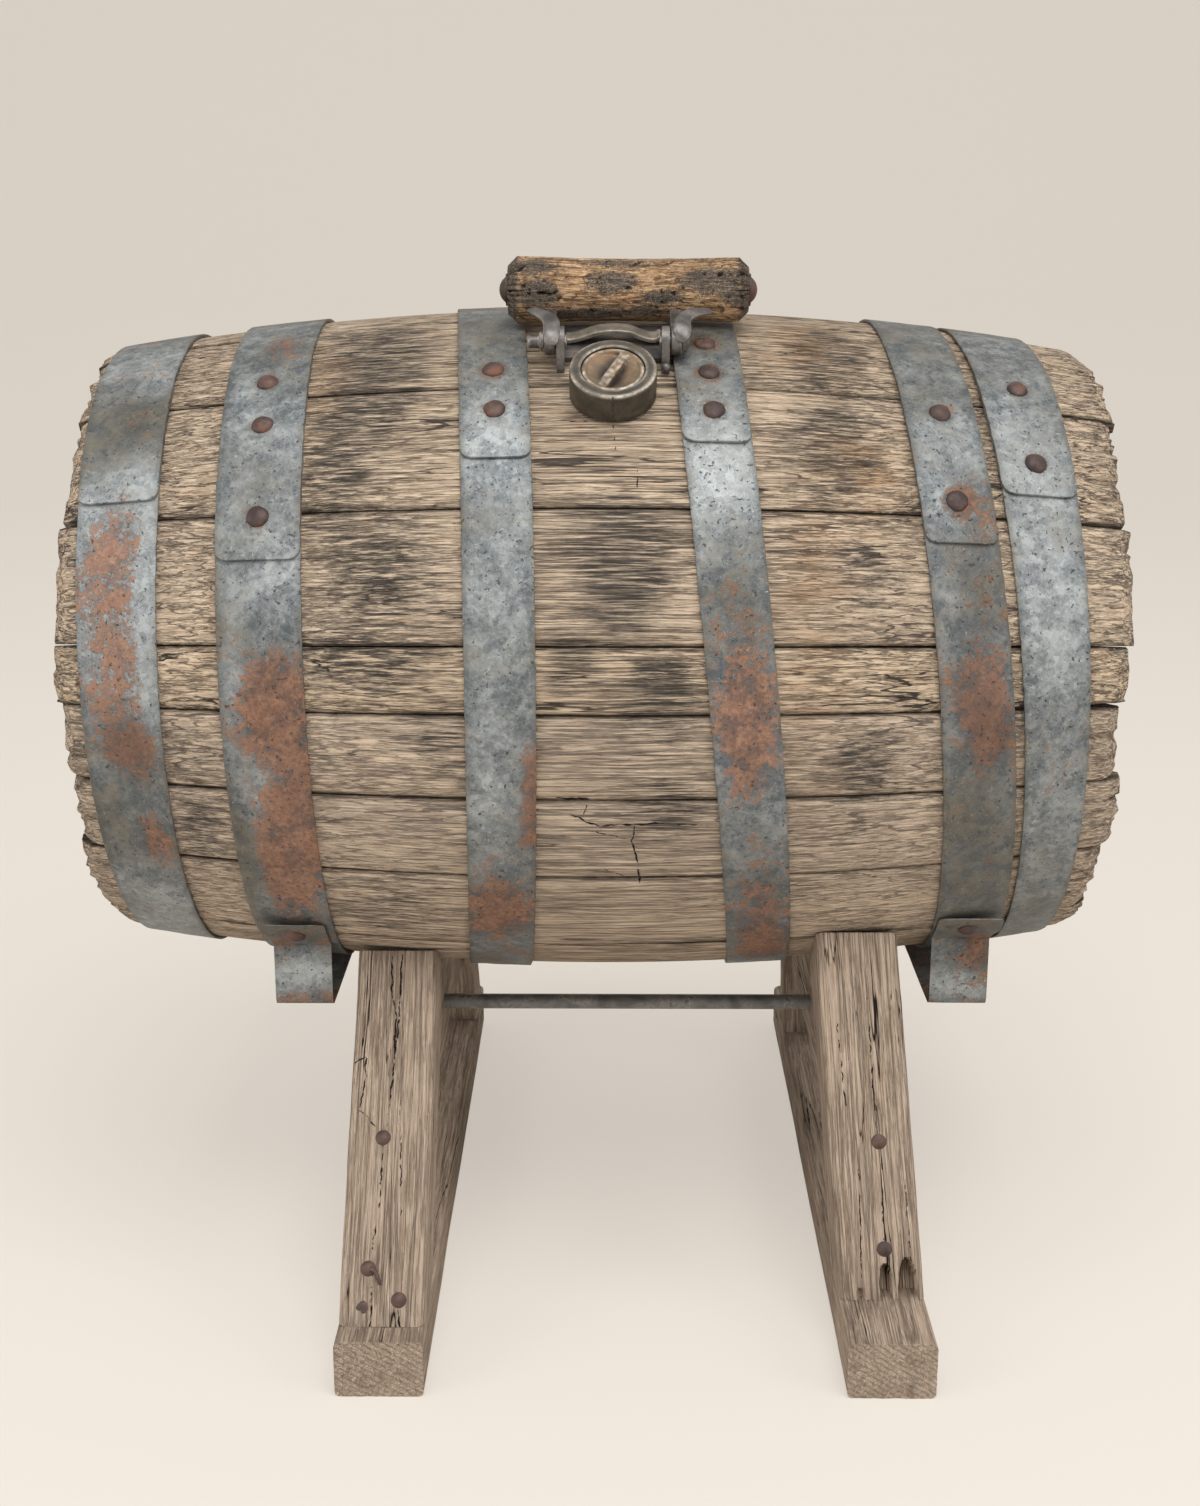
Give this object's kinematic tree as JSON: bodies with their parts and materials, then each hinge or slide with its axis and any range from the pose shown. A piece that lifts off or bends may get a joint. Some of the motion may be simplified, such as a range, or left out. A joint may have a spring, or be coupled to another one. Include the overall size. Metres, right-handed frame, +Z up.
{
  "type": "wooden barrel on stand",
  "caption": "Small stave-built wooden barrel with iron hoops, screwed bung and lifting handle, lying on a low two-trestle timber stand.",
  "frame": {"origin": "on the ground under the middle of the whole object", "axes": "+X along the barrel to the right, +Y to the back, +Z up; bung and handle face front and up"},
  "size_m": [0.48, 0.43, 0.4937],
  "materials": {
    "stave_oak": "weathered, stained, open grain",
    "head_oak": "weathered sawn boards",
    "galvanised_hoop": "dull galvanised strip with rust",
    "rusty_rivet": "rusty",
    "pewter_ring": "dark worn cast metal",
    "bronze_plug": "tarnished",
    "gasket_rubber": "matt",
    "grip_wood": "oiled, dark at the ends",
    "forged_iron": "forged, rusty brown",
    "rod_steel": "dark, dull",
    "stand_timber": "weathered sawn timber"
  },
  "bodies": {
    "stand": {"stand_bolster_left": "stand_timber", "stand_bolster_right": "stand_timber", "stand_leg_left_front": "stand_timber", "stand_leg_left_rear": "stand_timber", "stand_leg_right_front": "stand_timber", "stand_leg_right_rear": "stand_timber", "stand_nails": "rusty_rivet", "stand_sleeper_left": "stand_timber", "stand_sleeper_right": "stand_timber", "stand_tie_rod": "rod_steel", "stand_tie_rod_nuts": "rod_steel"},
    "barrel": {"bung_ferrule": "pewter_ring", "handle_bracket": "forged_iron", "handle_bridge_strip": "forged_iron", "handle_pivot_pins": "forged_iron", "head_left_board_1": "head_oak", "head_left_board_2": "head_oak", "head_left_board_3": "head_oak", "head_right_board_1": "head_oak", "head_right_board_2": "head_oak", "head_right_board_3": "head_oak", "hoop_left_bilge": "galvanised_hoop", "hoop_left_chime": "galvanised_hoop", "hoop_left_quarter": "galvanised_hoop", "hoop_right_bilge": "galvanised_hoop", "hoop_right_chime": "galvanised_hoop", "hoop_right_quarter": "galvanised_hoop", "hoop_rivets": "rusty_rivet", "stave_01": "stave_oak", "stave_02": "stave_oak", "stave_03": "stave_oak", "stave_04": "stave_oak", "stave_05": "stave_oak", "stave_06": "stave_oak", "stave_07": "stave_oak", "stave_08": "stave_oak", "stave_09": "stave_oak", "stave_10": "stave_oak", "stave_11": "stave_oak", "stave_12": "stave_oak", "stave_13": "stave_oak", "stave_14": "stave_oak", "stave_15": "stave_oak", "stave_16": "stave_oak", "stave_17": "stave_oak", "stave_18": "stave_oak", "strap_foot_left": "galvanised_hoop", "strap_foot_right": "galvanised_hoop", "strap_foot_rivets": "rusty_rivet"},
    "handle": {"handle_grip": "grip_wood", "handle_grip_rod": "forged_iron", "handle_grip_washers": "forged_iron", "handle_arm_left": "forged_iron", "handle_arm_right": "forged_iron"},
    "bung_seal": {"bung_gasket": "gasket_rubber"},
    "bung_screw": {"bung_plug": "bronze_plug"}
  },
  "joints": [
    {"name": "barrel_lift", "type": "slide", "parent": "stand", "child": "barrel", "axis": [0, 0, 1], "range_m": [0, 0.25]},
    {"name": "handle_hinge", "type": "hinge", "parent": "barrel", "child": "handle", "pos_m": [0.009, -0.08216, 0.45652], "axis": [1, 0, 0], "range_deg": [0, 95]},
    {"name": "plug_turn", "type": "hinge", "parent": "bung_seal", "child": "bung_screw", "pos_m": [0.009, -0.09813, 0.43461], "axis": [0, -0.5948, 0.8039], "range_deg": [0, 1080]},
    {"name": "plug_rise", "type": "slide", "parent": "barrel", "child": "bung_seal", "axis": [0, -0.5948, 0.8039], "range_m": [0, 0.0075]}
  ],
  "couplings": [
    {"joint": "plug_turn", "follows": "plug_rise", "rad_per_m": 2513.3}
  ]
}
